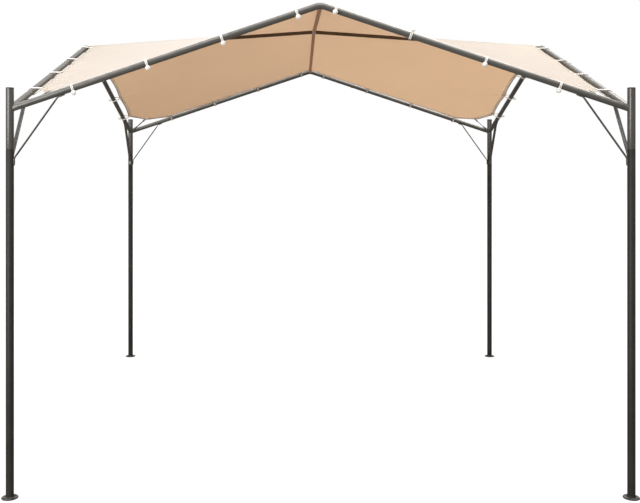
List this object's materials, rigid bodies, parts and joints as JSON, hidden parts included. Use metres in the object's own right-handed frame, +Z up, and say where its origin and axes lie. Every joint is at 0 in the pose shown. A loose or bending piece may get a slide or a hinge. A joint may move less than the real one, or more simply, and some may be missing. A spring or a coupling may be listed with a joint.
{
  "type": "party tent",
  "caption": "Square open-sided party tent: round steel posts on foot plates, gabled tube frame with corner braces and ridge poles, and one cloth roof.",
  "frame": {"origin": "on the ground under the middle of the roof, halfway between the four posts", "axes": "+Z up, -Y towards the front of the tent, +X to the right seen from the front"},
  "size_m": [3.08, 3.08, 2.4925],
  "materials": {
    "coated_steel": "dark grey powder coat, satin",
    "coated_plate": "dark grey powder coat, satin",
    "black_cap": "matt black moulding",
    "grey_hub": "pale grey, satin",
    "beige_cloth": "beige woven polyester, matt"
  },
  "bodies": {
    "root": {"brace_back_left": "coated_steel", "brace_back_right": "coated_steel", "brace_front_left": "coated_steel", "brace_front_right": "coated_steel", "brace_left_back": "coated_steel", "brace_left_front": "coated_steel", "brace_right_back": "coated_steel", "brace_right_front": "coated_steel", "canopy": "beige_cloth", "centre_hub": "grey_hub", "foot_plate_back_left": "coated_plate", "foot_plate_back_right": "coated_plate", "foot_plate_front_left": "coated_plate", "foot_plate_front_right": "coated_plate", "lower_post_back_left": "coated_steel", "lower_post_back_right": "coated_steel", "lower_post_front_left": "coated_steel", "lower_post_front_right": "coated_steel", "peak_tube_back": "coated_steel", "peak_tube_front": "coated_steel", "peak_tube_left": "coated_steel", "peak_tube_right": "coated_steel", "post_cap_back_left": "black_cap", "post_cap_back_right": "black_cap", "post_cap_front_left": "black_cap", "post_cap_front_right": "black_cap", "rafter_back_left": "coated_steel", "rafter_back_right": "coated_steel", "rafter_front_left": "coated_steel", "rafter_front_right": "coated_steel", "rafter_left_back": "coated_steel", "rafter_left_front": "coated_steel", "rafter_right_back": "coated_steel", "rafter_right_front": "coated_steel", "ridge_pole_back": "coated_steel", "ridge_pole_front": "coated_steel", "ridge_pole_left": "coated_steel", "ridge_pole_right": "coated_steel", "upper_post_back_left": "coated_steel", "upper_post_back_right": "coated_steel", "upper_post_front_left": "coated_steel", "upper_post_front_right": "coated_steel"}
  },
  "joints": []
}
